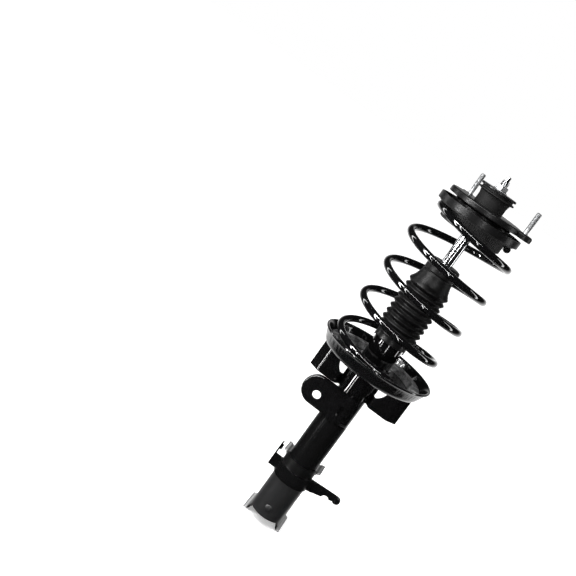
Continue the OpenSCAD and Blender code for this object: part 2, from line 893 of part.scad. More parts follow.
module hose_bracket() {
    prong_h = 18;
    prong_depth = 17;
    arm_y = -strap_t;
    rib_w = 5;
    hole_y = arm_y + prong_depth / 2;
    hole_z = strap_top_z + prong_h - 7.5;
    nut_h = 3;
    color("#1f1f21") difference() {
        union() {
            translate([0, 0, strap_z]) linear_extrude(strap_h) {
                difference() {
                    circle(r = knuckle_r + strap_t);
                    translate([-2 * knuckle_r, 0]) square([4 * knuckle_r, 2 * knuckle_r]);
                }
                translate([-tab_x, arm_y]) square([tab_x - knuckle_r, strap_t]);
            }
            translate([-tab_x, arm_y, strap_z])
                cube([strap_t, prong_depth, strap_h + prong_h]);
            upright(arm_y, strap_t) arm_outline();
            upright(arm_y - 1.5, 2) polygon([
                [knuckle_r + 5, strap_z + 3],
                [knuckle_r + 5 + rib_w, strap_z + 3],
                [knuckle_r + 28, strap_top_z - 4],
                [knuckle_r + 28 - rib_w, strap_top_z - 4]
            ]);
            translate([-tab_x + strap_t, hole_y, hole_z]) rotate([0, 90, 0])
                cylinder(r = 5.5, h = nut_h, $fn = 6);
        }
        translate([0, 0, strap_z - eps]) cylinder(r = knuckle_r, h = strap_h + 2 * eps);
        translate([-tab_x - eps, hole_y, hole_z]) rotate([0, 90, 0])
            cylinder(r = clip_hole_r, h = strap_t + nut_h + 2 * eps);
    }
}

piston_rod();
rod_nut();
top_washer();
mount_rubber();
mount_sleeve();
mount_plate();
mount_cup();
mount_studs();
bearing_upper_race();
bearing_cage();
bearing_balls();
bearing_lower_race();
upper_spring_seat();
upper_insulator();
coil_spring();
bump_stop();
dust_boot();
boot_collar();
end_cap();
rod_seal();
rod_guide();
rebound_stop();
piston();
piston_band();
piston_nut();
pressure_tube();
base_valve();
reserve_tube();
base_cup();
lower_spring_seat();
lower_insulator();
seat_support();
stabilizer_bracket();
hose_bracket();
knuckle_bracket();
knuckle_reinforcement();
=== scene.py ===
"""A complete front suspension strut, from top mount to knuckle bracket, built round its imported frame."""

import json
import math

import bmesh
import bpy
from bpy.props import FloatProperty, FloatVectorProperty, IntProperty, PointerProperty
from mathutils import Matrix, Vector


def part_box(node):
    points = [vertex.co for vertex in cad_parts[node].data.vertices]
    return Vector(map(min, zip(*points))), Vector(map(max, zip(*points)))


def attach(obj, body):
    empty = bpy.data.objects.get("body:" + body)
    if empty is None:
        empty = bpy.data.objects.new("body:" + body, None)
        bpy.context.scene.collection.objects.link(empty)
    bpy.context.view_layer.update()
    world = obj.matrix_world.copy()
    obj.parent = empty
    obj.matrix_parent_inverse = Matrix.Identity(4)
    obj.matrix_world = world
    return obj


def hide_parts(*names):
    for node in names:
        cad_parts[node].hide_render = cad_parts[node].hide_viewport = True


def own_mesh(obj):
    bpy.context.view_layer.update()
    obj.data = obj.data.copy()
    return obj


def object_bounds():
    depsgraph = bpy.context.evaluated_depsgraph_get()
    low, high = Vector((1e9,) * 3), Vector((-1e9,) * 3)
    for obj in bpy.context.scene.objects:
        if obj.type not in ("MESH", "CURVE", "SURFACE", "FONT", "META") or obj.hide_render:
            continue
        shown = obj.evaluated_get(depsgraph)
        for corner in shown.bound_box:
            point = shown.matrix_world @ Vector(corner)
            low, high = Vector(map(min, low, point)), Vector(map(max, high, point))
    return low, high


bl_info = {
    "name": "Suspension strut",
    "version": (1, 0, 0),
    "blender": (4, 5, 0),
    "location": "3D Viewport > Sidebar > Strut",
    "description": "Builds a complete suspension strut round its frame",
    "category": "Object",
}

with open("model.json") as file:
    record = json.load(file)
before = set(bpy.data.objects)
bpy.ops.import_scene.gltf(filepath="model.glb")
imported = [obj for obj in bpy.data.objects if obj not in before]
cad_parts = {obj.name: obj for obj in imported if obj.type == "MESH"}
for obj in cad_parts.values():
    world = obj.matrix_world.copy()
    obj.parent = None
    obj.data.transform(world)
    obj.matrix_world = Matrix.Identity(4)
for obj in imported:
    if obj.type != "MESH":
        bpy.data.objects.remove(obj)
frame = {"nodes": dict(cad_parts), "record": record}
CAD_BOX = [list(corner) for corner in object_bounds()]
MM = 0.001
UP = Vector((0, 0, 1))


def low_z(node):
    """Height of a part's underside."""
    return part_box(node)[0].z


def high_z(node):
    """Height of a part's top."""
    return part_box(node)[1].z


def mount_place(name):
    """Place of one of the record's mounts."""
    return next(m["pos_m"] for m in frame["record"]["mounts"] if m["name"] == name)


# ---- Sizes and colours ----


def length(name, description, default):
    return FloatProperty(
        name=name, description=description, default=default, unit="LENGTH", precision=4
    )


def degrees(name, description, default):
    return FloatProperty(
        name=name, description=description, default=math.radians(default), subtype="ANGLE"
    )


def colour(name, description, default):
    return FloatVectorProperty(
        name=name, description=description, default=default, subtype="COLOR", min=0, max=1
    )


class MountSizes(bpy.types.PropertyGroup):
    thread_pitch: length("Thread pitch", "Pitch of the studs' and the rod's threads", 1.5 * MM)
    thread_depth: length("Thread depth", "Depth of the studs' and the rod's threads", 0.45 * MM)
    stud_radius: length("Stud radius", "Radius of the mounting studs", 4 * MM)
    knurl_height: length("Knurl height", "Height of the smooth shank under each stud's thread", 9 * MM)
    rod_thread_radius: length("Rod thread radius", "Radius of the rod's threaded top", 6 * MM)
    nut_width: length("Nut width", "Width of the top nut across its flats", 18 * MM)


class SpringSizes(bpy.types.PropertyGroup):
    wire_radius: length("Wire radius", "Radius of the spring's wire", 5.75 * MM)
    coil_radius: length("Coil radius", "Mean radius of the working coils", 75.6 * MM)
    end_radius: length("End coil radius", "Mean radius of the coil on the upper seat", 59.25 * MM)
    start: degrees("Start", "Direction of the wire's top end", 5)
    turned: degrees("Turned", "Angle the wire turns from end to end", 1730)
    flat_turn: degrees("Flat turn", "Angle the wire lies flat at its top", 187)
    ease_turn: degrees("Easing turn", "Angle over which the wire takes its slope", 36)
    bow: length("Bow", "Sideways bow of the working coils", 2.5 * MM)
    travel: length("Travel", "Shortening of the spring at full compression", 90 * MM)


class BootSizes(bpy.types.PropertyGroup):
    cap_radius: length("Cap radius", "Radius of the boot's plain top", 26 * MM)
    crest_radius: length("Crest radius", "Outer radius of the folds", 34.6 * MM)
    valley_radius: length("Valley radius", "Radius between the folds", 29.6 * MM)
    fold_count: IntProperty(name="Folds", description="Number of folds", default=9, min=1, max=20)
    wall: length("Wall", "Wall of the boot", 1.4 * MM)


class SheetSizes(bpy.types.PropertyGroup):
    edge_round: length("Edge rounding", "Rounding of pressed sheet edges", 0.7 * MM)
    bead_radius: length("Weld bead", "Radius of the weld beads", 1.9 * MM)


class FinishColours(bpy.types.PropertyGroup):
    gloss_paint: colour("Gloss paint", "Colour of the damper's paint", (0.0016, 0.0016, 0.0017))
    satin_paint: colour("Satin paint", "Colour of the mount's and brackets' coat", (0.0022, 0.0022, 0.0023))
    rubber: colour("Rubber", "Colour of the rubber parts", (0.003, 0.003, 0.003))
    steel: colour("Bright steel", "Colour of the rod and the studs", (0.72, 0.73, 0.74))
    # The pad's pale grey is partly its own colour and partly a painted reflection of the light in the lower
    # seat.
    pad: colour("Spring pad", "Colour of the worn pad in the lower seat", (0.09, 0.09, 0.091))


class StageSettings(bpy.types.PropertyGroup):
    background: colour("Background", "Colour of the studio", (1, 1, 1))
    key_power: FloatProperty(
        name="Key light", description="Power of the tall light at the left", default=20, min=0
    )
    fill_power: FloatProperty(
        name="Fill light", description="Power of the narrow light at the right", default=8, min=0
    )
    distance: length("Camera distance", "Distance of the camera from the middle of the strut", 1.5)


# ---- Finishes ----


class Value:
    """A number that varies over a surface, for use in ordinary arithmetic."""

    def __init__(self, finish, socket):
        self.finish, self.socket = finish, socket

    def maths(self, operation, *others):
        values = {i: v for i, v in enumerate((self, *others))}
        return self.finish.add("ShaderNodeMath", {"operation": operation}, values).value("Value")

    def __add__(self, other):
        return self.maths("ADD", other)

    def __radd__(self, other):
        return self.maths("ADD", other)

    def __mul__(self, other):
        return self.maths("MULTIPLY", other)

    def __rmul__(self, other):
        return self.maths("MULTIPLY", other)

    def __sub__(self, other):
        return self.maths("SUBTRACT", other)

    def __rsub__(self, other):
        return (self * -1) + other

    def clamped(self):
        return self.maths("MAXIMUM", 0.0).maths("MINIMUM", 1.0)

    def above(self, edge, softness):
        """0 under the edge and 1 over it, with a ramp as wide as the softness."""
        return ((self - edge) * (1 / softness)).clamped()


class Added:
    """A node and the finish it belongs to."""

    def __init__(self, finish, node):
        self.finish, self.node = finish, node

    def value(self, output=0):
        return Value(self.finish, self.node.outputs[output])


class NodeTree:
    """A node tree under construction, with the shader that its values feed."""

    def __init__(self, tree, shader, place):
        self.tree, self.shader = tree, tree.nodes[shader]
        self.place = self.add("ShaderNodeTexCoord").value(place)

    def put(self, name, value):
        """Sets one of the shader's sockets, or links it."""
        self.plug(self.shader.inputs[name], value)

    def plug(self, socket, value):
        if isinstance(value, Value):
            self.tree.links.new(value.socket, socket)
        else:
            socket.default_value = value

    def add(self, kind, settings=None, values=None):
        """Adds a node: its settings first, then the values or links of its sockets."""
        node = self.tree.nodes.new(kind)
        for key, setting in (settings or {}).items():
            setattr(node, key, setting)
        for key, value in (values or {}).items():
            self.plug(node.inputs[key], value)
        return Added(self, node)

    def mixed(self, share, first, second):
        """One colour where the share is 0 and the other where it is 1."""
        values = {0: share, 6: first, 7: second}
        return self.add("ShaderNodeMix", {"data_type": "RGBA"}, values).value(2)


class Studio(NodeTree):
    """The light that comes from all round."""

    def __init__(self, tree):
        super().__init__(tree, "Background", "Generated")


class Finish(NodeTree):
    """A procedural material under construction."""

    def __init__(self, name, base, roughness, metallic=0.0, coat=0.0, specular=0.5):
        self.material = bpy.data.materials.new(name)
        self.material.use_nodes = True
        super().__init__(self.material.node_tree, "Principled BSDF", "Object")
        self.base = (*base, 1)
        self.put("Base Color", self.base)
        self.put("Roughness", roughness)
        self.put("Metallic", metallic)
        self.put("Coat Weight", coat)
        self.put("Coat Roughness", 0.04)
        self.put("Specular IOR Level", specular)
        self.relief = None

    def stretched(self, x, y, z):
        return self.add("ShaderNodeMapping", None, {"Vector": self.place, "Scale": (x, y, z)}).value("Vector")

    def noise(self, scale, detail=3.0, rough=0.5, stretch=None):
        place = self.stretched(*stretch) if stretch else self.place
        values = {"Vector": place, "Scale": scale, "Detail": detail, "Roughness": rough}
        return self.add("ShaderNodeTexNoise", None, values).value("Fac")

    def cells(self, scale):
        return self.add("ShaderNodeTexVoronoi", None, {"Vector": self.place, "Scale": scale}).value("Distance")

    def bump(self, height, strength, distance):
        values = {"Height": height, "Strength": strength, "Distance": distance}
        if self.relief:
            values["Normal"] = self.relief
        self.relief = self.add("ShaderNodeBump", None, values).value("Normal")
        self.put("Normal", self.relief)


def tinted(base, gain):
    return (*[min(1.0, c * gain) for c in base], 1)


def paint(name, base, roughness, orange_peel, coat=0.0, dust=0.25, specular=0.5):
    """Sprayed or dipped paint with orange peel, uneven gloss, settled dust and a few rubbed places."""
    f = Finish(name, base, roughness, coat=coat, specular=specular)
    cloud = f.noise(14, 4)
    grain = f.noise(1500, 2)
    specks = f.noise(700, 1).above(0.70, 0.03)
    rubbed = f.noise(60, 6, 0.7).above(0.66, 0.10)
    shade = f.mixed(cloud * 0.8, f.base, tinted(base, 1.7))
    shade = f.mixed(specks * dust, shade, (0.16, 0.16, 0.16, 1))
    f.put("Base Color", f.mixed(rubbed * 0.25, shade, tinted(base, 4)))
    uneven = (cloud * 0.35 + grain * 0.15) * roughness
    f.put("Roughness", roughness * 0.8 + uneven + (rubbed * 0.4 + specks) * dust)
    f.bump(f.noise(420, 2), orange_peel, 0.0006)
    f.bump(grain, orange_peel * 0.5, 0.0002)
    return f.material


def tube_paint(name, base):
    """Smooth gloss paint with faint upright smears."""
    f = Finish(name, base, 0.1, coat=0.5)
    cloud = f.noise(12, 4)
    smears = f.noise(50, 5, 0.6, stretch=(1, 1, 0.2)).above(0.5, 0.3)
    f.put("Base Color", f.mixed(cloud * 0.8, f.base, tinted(base, 1.8)))
    f.put("Roughness", cloud * 0.03 + smears * 0.03 + 0.05)
    f.bump(f.noise(160, 2), 0.004, 0.0006)
    return f.material


def knuckle_coat(name, base):
    """Satin coat on the knuckle bracket: darker above the hose strap, with a painted reflection in pale grey
    on the curled edges.
    """
    curl_start, curl_fade = 0.0290, 0.0022
    tip_width, tip_fade, darker_fade = 0.0016, 0.0006, 0.004
    f = Finish(name, base, 0.36, specular=0.4)
    apart = f.add("ShaderNodeSeparateXYZ", None, {0: f.place})
    across = apart.value("X").maths("ABSOLUTE")
    darker_above_strap = apart.value("Z").above(low_z("hose_bracket"), darker_fade)
    tip = across.above(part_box("knuckle_bracket")[1].x - tip_width, tip_fade)
    cloud = f.noise(18, 5, 0.6)
    scuffs = f.noise(90, 6, 0.7).above(0.60, 0.15)
    # Painted reflection: the curled edges get pale grey where they would catch the white surroundings.
    curl_painted_reflection = (across.above(curl_start, curl_fade) - tip) * (cloud * 0.6 + 0.6 - scuffs * 0.4)
    shade = f.mixed(cloud * 0.9, f.base, tinted(base, 2.2))
    shade = f.mixed(scuffs * 0.3, shade, tinted(base, 4))
    # The coat is made darker above the hose strap.
    shade = f.mixed(darker_above_strap, shade, tinted(base, 0.25))
    f.put("Base Color", f.mixed(curl_painted_reflection.clamped(), shade, (0.34, 0.34, 0.34, 1)))
    f.put("Roughness", cloud * 0.12 + 0.28 + scuffs * 0.12)
    f.bump(f.noise(500, 2), 0.04, 0.0004)
    f.bump(f.noise(1800, 2), 0.04, 0.0002)
    return f.material


def rubber(name, base, roughness, relief):
    """Moulded rubber: fine grain, pale bloom and faint flow marks."""
    f = Finish(name, base, roughness, specular=0.22)
    bloom = f.noise(26, 5, 0.6)
    grain = f.noise(2200, 3)
    flow = f.noise(90, 2, stretch=(1, 1, 5))
    shade = f.mixed(bloom.above(0.42, 0.4), f.base, tinted(base, 2.1))
    f.put("Base Color", f.mixed(f.noise(900, 1).above(0.71, 0.03) * 0.08, shade, (0.12, 0.12, 0.12, 1)))
    f.put("Roughness", bloom * 0.25 + grain * 0.06 + (roughness - 0.12))
    f.bump(grain, relief, 0.0002)
    f.bump(flow, relief * 0.4, 0.0005)
    return f.material


def bright_metal(name, base, roughness, stretch, lines=0.05, stains=0.12, uneven=0.10):
    """Ground or plated steel with fine tool lines, thumbed haze and small dark stains."""
    f = Finish(name, base, roughness, metallic=1.0)
    tool = f.noise(160, 4, 0.7, stretch=stretch)
    haze = f.noise(35, 4)
    spots = f.noise(420, 2).above(0.68, 0.06)
    shade = f.mixed(haze * 0.5, f.base, tinted(base, 0.72))
    f.put("Base Color", f.mixed(spots * stains, shade, (0.12, 0.11, 0.10, 1)))
    f.put("Roughness", tool * uneven + haze * uneven + (roughness - uneven) + spots * 0.1)
    f.bump(tool, lines, 0.0001)
    return f.material


def spring_coat(name, base):
    """Thick glossy powder coat on the spring's wire."""
    f = Finish(name, base, 0.08, coat=0.6)
    peel = f.noise(230, 2)
    cloud = f.noise(20, 3)
    chips = f.noise(150, 5, 0.7).above(0.74, 0.02)
    shade = f.mixed(cloud * 0.7, f.base, tinted(base, 1.8))
    f.put("Base Color", f.mixed(chips * 0.4, shade, (0.05, 0.05, 0.05, 1)))
    f.put("Roughness", cloud * 0.05 + 0.04 + chips * 0.3)
    f.bump(peel, 0.005, 0.0008)
    return f.material


def moulded(name, base, roughness, pores):
    """Foam or plastic with pores of the given scale."""
    f = Finish(name, base, roughness)
    cell = f.cells(pores)
    cloud = f.noise(40, 3)
    f.put("Base Color", f.mixed(cloud * 0.6, f.base, tinted(base, 0.6)))
    f.put("Roughness", cloud * 0.2 + (roughness - 0.1))
    f.bump(cell, 0.3, 0.0004)
    return f.material


def pad_with_painted_sheen(name, base):
    """The grey pad that the bottom coil rests on, with dark pits: its pale patches are partly its own scuffed
    grey and partly a painted reflection of the light on the seat's floor.
    """
    f = Finish(name, base, 0.6, specular=0.4)
    wear_and_sheen = f.noise(70, 6, 0.65)
    pits = f.noise(330, 2).above(0.58, 0.06)
    # Pale patches: partly the pad's own grey, partly a painted reflection of the light in the lower seat.
    shade = f.mixed(wear_and_sheen.above(0.40, 0.22), tinted(base, 0.35), tinted(base, 2.4))
    f.put("Base Color", f.mixed(pits * 0.75, shade, tinted(base, 0.25)))
    f.put("Roughness", wear_and_sheen * 0.35 + 0.32)
    f.bump(wear_and_sheen, 0.35, 0.001)
    f.bump(pits * -1.0, 0.4, 0.0005)
    return f.material


FINISHES = {}


def make_finishes(c):
    """All the finishes of the strut, by name."""
    grind = (1, 1, 14)
    FINISHES.update(
        chrome=bright_metal("hard_chrome", c.steel, 0.17, (1, 1, 20), 0.0001, 0.03, 0.02),
        zinc=bright_metal("zinc_plate", [v * 0.55 for v in c.steel], 0.5, grind, 0.02),
        machined=bright_metal("turned_steel", [v * 0.5 for v in c.steel], 0.32, grind, 0.05),
        brass=bright_metal("valve_brass", (0.6, 0.42, 0.16), 0.3, grind),
        gloss=paint("gloss_black_paint", c.gloss_paint, 0.10, 0.003, coat=0.3, dust=0.02),
        tube=tube_paint("tube_black_paint", c.gloss_paint),
        label=paint("label_film", c.gloss_paint, 0.22, 0.02, dust=0.02, specular=0.14),
        satin=paint("satin_black_coat", c.satin_paint, 0.30, 0.06, dust=0.06, specular=0.24),
        bracket=knuckle_coat("bracket_black_coat", [v * 2.6 for v in c.satin_paint]),
        hub=rubber("hub_rubber", [v * 4 for v in c.rubber], 0.45, 0.1),
        spring=spring_coat("spring_powder_coat", c.gloss_paint),
        rubber=rubber("mount_rubber", c.rubber, 0.60, 0.12),
        boot=rubber("boot_rubber", [v * 0.5 for v in c.rubber], 0.40, 0.08),
        foam=moulded("bump_foam", (0.30, 0.27, 0.17), 0.85, 900),
        plastic=moulded("bearing_plastic", (0.62, 0.58, 0.48), 0.45, 500),
        band=moulded("piston_band", (0.05, 0.07, 0.06), 0.4, 700),
        pad=pad_with_painted_sheen("spring_pad_painted_sheen", c.pad),
        weld=bright_metal("painted_weld", (0.03, 0.03, 0.032), 0.32, (1, 1, 1), 0.4),
    )


# ---- Shaping ----


def shade_smooth(bm, angle=35):
    """Smooth faces, with the edges sharper than the angle kept crisp."""
    limit = math.radians(angle)
    for face in bm.faces:
        face.smooth = True
    for edge in bm.edges:
        edge.smooth = len(edge.link_faces) == 2 and edge.calc_face_angle(0) < limit


def finished(name, bm, finish, body, replaced=(), angle=35):
    """Turns a bmesh into a piece of the strut."""
    bmesh.ops.remove_doubles(bm, verts=bm.verts, dist=1e-6)
    bmesh.ops.dissolve_degenerate(bm, edges=bm.edges, dist=1e-7)
    bmesh.ops.recalc_face_normals(bm, faces=bm.faces)
    shade_smooth(bm, angle)
    mesh = bpy.data.meshes.new(name)
    bm.to_mesh(mesh)
    bm.free()
    if finish:
        mesh.materials.append(FINISHES[finish])
    piece = bpy.data.objects.new(name, mesh)
    bpy.context.scene.collection.objects.link(piece)
    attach(piece, body)
    if replaced:
        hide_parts(*replaced)
    return piece


def bevelled(bm, geom, width, segments, affect="EDGES"):
    bmesh.ops.bevel(
        bm, geom=geom, offset=width, offset_type="OFFSET", affect=affect,
        segments=segments, profile=0.5, material=-1,
    )


def turned(bm, section, steps=96, at=(0, 0, 0)):
    """Turns a closed section round the vertical axis.

    Each corner is its radius, its height and the length cut off to round it.
    """
    scratch = bmesh.new()
    corners = [scratch.verts.new((r * MM, 0, z * MM)) for r, z, _cut in section]
    scratch.faces.new(corners)
    for cut in sorted({c for _r, _z, c in section if c}):
        rounded = [v for v, (_r, _z, c) in zip(corners, section) if c == cut]
        bevelled(scratch, rounded, cut * MM, 4, "VERTICES")
    bmesh.ops.delete(scratch, geom=scratch.faces[:], context="FACES_ONLY")
    bmesh.ops.spin(
        scratch, geom=scratch.verts[:] + scratch.edges[:], cent=(0, 0, 0), axis=UP,
        angle=2 * math.pi, steps=steps, use_merge=True,
    )
    bmesh.ops.translate(scratch, verts=scratch.verts, vec=at)
    add_to(bm, scratch)


def add_to(bm, scratch):
    """Moves a scratch bmesh's faces into another."""
    mesh = bpy.data.meshes.new("scratch")
    scratch.to_mesh(mesh)
    scratch.free()
    bm.from_mesh(mesh)
    bpy.data.meshes.remove(mesh)


def threaded(radius, low, high, pitch, depth):
    """The outer corners of a threaded shank, from its low end to its chamfered high end."""
    root = radius - depth
    turns = int((high - low - 1.2) / pitch)
    corners = []
    for i in range(turns):
        z = low + i * pitch
        corners += [(root, z, 0), (radius, z + pitch * 0.42, 0), (radius, z + pitch * 0.58, 0)]
    return corners + [(root, low + turns * pitch, 0), (root, high - 1.0, 0), (radius - 1.3, high, 0.3)]


def hexagonal(bm, radius, height, middle):
    """A hexagonal bar round the vertical axis. Returns its vertices."""
    bar = bmesh.ops.create_cone(
        bm, cap_ends=True, segments=6, radius1=radius * MM, radius2=radius * MM, depth=height * MM
    )["verts"]
    bmesh.ops.translate(bm, verts=bar, vec=(0, 0, middle * MM))
    return bar


def top_rim(verts, top):
    """The edges that lie at the top of a bar."""
    near = {e for v in verts for e in v.link_edges}
    return [e for e in near if all(w.co.z > (top - 0.1) * MM for w in e.verts)]


def beaded(bm, path, radius):
    """A weld bead: overlapping drops along a path of points in metres."""
    spacing = radius * 0.75
    carried = 0.0
    for start, end in zip(path, path[1:]):
        run = (end - start).length
        where = carried
        while where < run:
            spot = start.lerp(end, where / run)
            drop = bmesh.ops.create_icosphere(bm, subdivisions=2, radius=radius)["verts"]
            wobble = 1 + 0.10 * math.sin(spot.x * 2100 + spot.z * 1700 + spot.y * 900)
            bmesh.ops.scale(bm, verts=drop, vec=(wobble, wobble, 1.04))
            bmesh.ops.translate(bm, verts=drop, vec=spot)
            where += spacing
        carried = where - run


def arc(radius, start, end, z, steps=24):
    """Points on a level arc, with the angles in degrees and the lengths in millimetres."""
    angles = [math.radians(start + (end - start) * i / steps) for i in range(steps + 1)]
    return [Vector((radius * math.cos(a), radius * math.sin(a), z)) * MM for a in angles]


def rolled(bm, chosen, width, segments=5):
    """Rounds the edges that a test picks out by their two ends and the angle between their faces."""
    picked = []
    for edge in bm.edges:
        a, b = (v.co / MM for v in edge.verts)
        if len(edge.link_faces) == 2 and chosen(a, b, math.degrees(edge.calc_face_angle(0))):
            picked.append(edge)
    bevelled(bm, picked, width, segments)


def softened(name, node, finish, body, slot, width, rolls=(), angle=38):
    """A copy of a pressed part with its edges rounded as sheet metal's are.

    Each roll is a test for edges and the width to round them by.
    """
    bm = bmesh.new()
    bm.from_mesh(frame["nodes"][node].data)
    bmesh.ops.remove_doubles(bm, verts=bm.verts, dist=2e-6)
    bmesh.ops.dissolve_limit(bm, angle_limit=math.radians(1.0), verts=bm.verts, edges=bm.edges)
    for chosen, roll_width in rolls:
        rolled(bm, chosen, roll_width)
    piece = finished(name, bm, finish, body, (node,), angle)
    bevel = piece.modifiers.new("rounded_edges", "BEVEL")
    bevel.width = width
    bevel.segments = 3
    bevel.limit_method = "ANGLE"
    bevel.angle_limit = math.radians(angle)
    bevel.harden_normals = True
    bevel.miter_outer = "MITER_ARC"
    return piece


def wing_bend(a, b, angle):
    """A fold of the seat support that runs straight up, clear of the tube."""
    upright = (a.xy - b.xy).length < 0.1 and abs(a.z - b.z) > 4
    return upright and 20 < angle < 75 and abs(a.x) > 30


def at_height(z):
    """The outer rim of a pressing at a height."""
    def chosen(a, b, angle):
        level = abs(a.z - z) < 0.05 and abs(b.z - z) < 0.05
        return level and angle > 50 and a.xy.length > 48

    return chosen


def plate_rim(y, hole, clear):
    """The outline of the link bracket's front face at a depth, left of the tube and clear of the bolt hole."""
    def chosen(a, b, angle):
        flush = abs(a.y - y) < 0.05 and abs(b.y - y) < 0.05
        return flush and angle > 50 and max(a.x, b.x) < -3 and (a - hole).length > clear

    return chosen


class Builder:
    """What every operator of the strut shares."""

    bl_options = {"REGISTER", "UNDO"}

    def execute(self, context):
        self.build(context.scene)
        return {"FINISHED"}


# ---- Pieces ----


class STRUT_OT_stage(Builder, bpy.types.Operator):
    """Set up the camera, the lights, the background and the floor"""

    bl_idname = "strut.stage"
    bl_label = "Stage"

    def build(self, scene):
        stage = scene.strut_stage
        self.camera(scene, stage)
        self.world(scene, stage)
        self.lights(stage)
        self.sky()
        self.floor()
        scene.view_settings.view_transform = "Standard"

    def camera(self, scene, stage):
        pitch, aside, tilt, roll = (math.radians(a) for a in (12.6, 6.72, 0.414, 36.1))
        middle = Vector((0, 0, -0.266))
        forward = Vector((0, math.cos(pitch), -math.sin(pitch)))
        right, up = Vector((1, 0, 0)), Vector((0, math.sin(pitch), math.cos(pitch)))
        eye = middle - forward * stage.distance
        forward, right = (
            forward * math.cos(aside) - right * math.sin(aside),
            right * math.cos(aside) + forward * math.sin(aside),
        )
        forward, up = (
            forward * math.cos(tilt) - up * math.sin(tilt),
            up * math.cos(tilt) + forward * math.sin(tilt),
        )
        right, up = (
            right * math.cos(roll) + up * math.sin(roll),
            up * math.cos(roll) - right * math.sin(roll),
        )
        data = bpy.data.cameras.new("camera")
        data.lens, data.sensor_width = 60.48, 36
        data.clip_start, data.clip_end = 0.05, 60
        camera = bpy.data.objects.new("camera", data)
        camera.matrix_world = Matrix.Translation(eye) @ Matrix((right, up, -forward)).transposed().to_4x4()
        scene.collection.objects.link(camera)
        scene.camera = camera

    def world(self, scene, stage):
        """White to look at; to light the strut, dark in front, bright behind and below."""
        world = bpy.data.worlds.new("studio")
        scene.world = world
        world.use_nodes = True
        studio = Studio(world.node_tree)
        apart = studio.add("ShaderNodeSeparateXYZ", None, {0: studio.place})
        behind, height = apart.value("Y"), apart.value("Z")
        glow = (behind * 0.8 - height * 0.5).above(0.56, 0.25)
        lit = studio.mixed(glow, (0.010, 0.010, 0.010, 1), (0.95, 0.95, 0.95, 1))
        seen = studio.add("ShaderNodeLightPath").value("Is Camera Ray")
        studio.put("Color", studio.mixed(seen, lit, (*stage.background, 1)))

    def lights(self, stage):
        # name, bearing from the front in degrees, height, distance, width, length, power
        for name, bearing, z, distance, wide, tall, power in (
            ("key", -54, 0.05, 1.3, 0.08, 1.8, stage.key_power * 1.5),
            ("key_edge", -36, 0.05, 1.3, 0.03, 1.8, stage.key_power * 0.4),
            ("fill", 14, 0.0, 1.7, 0.05, 1.5, stage.fill_power),
            ("left_edge", -105, 0.0, 1.2, 0.12, 1.5, stage.key_power * 0.2),
            ("right_edge", 100, 0.0, 1.2, 0.16, 1.5, stage.key_power * 0.22),
            ("top", -48, 0.75, 1.1, 0.12, 0.3, stage.key_power * 0.3),
            ("overhead", -14, 1.05, 1.2, 2.6, 0.07, stage.key_power * 1.4),
        ):
            data = bpy.data.lights.new(name, "AREA")
            data.shape, data.size, data.size_y, data.energy = "RECTANGLE", wide, tall, power
            a = math.radians(bearing)
            spot = Vector((distance * math.sin(a), -distance * math.cos(a), z))
            lamp = bpy.data.objects.new(name, data)
            aimed_z = -0.28 if z < 1 else -0.1
            aim = Vector((0, 0, aimed_z)) - spot
            lamp.matrix_world = Matrix.Translation(spot) @ aim.to_track_quat("-Z", "Y").to_matrix().to_4x4()
            bpy.context.scene.collection.objects.link(lamp)

    def sky(self):
        """A soft light from above that gives the floor its shadow and leaves no glint on the strut."""
        data = bpy.data.lights.new("sky", "SUN")
        data.energy, data.angle = 3.0, math.radians(40)
        lamp = bpy.data.objects.new("sky", data)
        lamp.visible_glossy = False
        bpy.context.scene.collection.objects.link(lamp)

    def floor(self):
        f = Finish("pale_floor", (0.9, 0.9, 0.9), 0.7)
        f.put("Roughness", f.noise(3, 2) * 0.2 + 0.6)
        f.put("Emission Color", (1, 1, 1, 1))
        f.put("Emission Strength", 0.35)
        bm = bmesh.new()
        bmesh.ops.create_grid(bm, x_segments=4, y_segments=4, size=20)
        bmesh.ops.translate(bm, verts=bm.verts, vec=(0, 0, CAD_BOX[0][2] - 0.001))
        mesh = bpy.data.meshes.new("floor")
        bm.to_mesh(mesh)
        bm.free()
        mesh.materials.append(f.material)
        floor = bpy.data.objects.new("floor", mesh)
        bpy.context.scene.collection.objects.link(floor)
        floor.visible_glossy = False


class STRUT_OT_finishes(Builder, bpy.types.Operator):
    """Make the finishes and give the plain parts theirs"""

    bl_idname = "strut.finishes"
    bl_label = "Finishes"

    plain = {
        "chrome": ("bearing_balls", "piston_rod"),
        "zinc": ("piston_nut", "rod_nut", "mount_studs"),
        "machined": (
            "mount_sleeve", "rod_guide", "rebound_stop", "piston", "pressure_tube", "end_cap"
        ),
        "satin": (
            "mount_cup", "bearing_upper_race", "bearing_lower_race", "top_washer", "mount_plate",
            "upper_spring_seat", "boot_collar",
        ),
        "bracket": ("knuckle_bracket", "knuckle_reinforcement", "hose_bracket"),
        "tube": ("reserve_tube", "base_cup"),
        "gloss": ("lower_spring_seat", "seat_support", "stabilizer_bracket"),
        "spring": ("coil_spring",),
        "rubber": ("rod_seal", "mount_rubber", "upper_insulator"),
        "pad": ("lower_insulator",),
        "boot": ("dust_boot",),
        "foam": ("bump_stop",),
        "plastic": ("bearing_cage",),
        "band": ("piston_band",),
        "brass": ("base_valve",),
    }

    def build(self, scene):
        make_finishes(scene.strut_colours)
        for finish, nodes in self.plain.items():
            for node in nodes:
                mesh = frame["nodes"][node].data
                mesh.materials.clear()
                mesh.materials.append(FINISHES[finish])


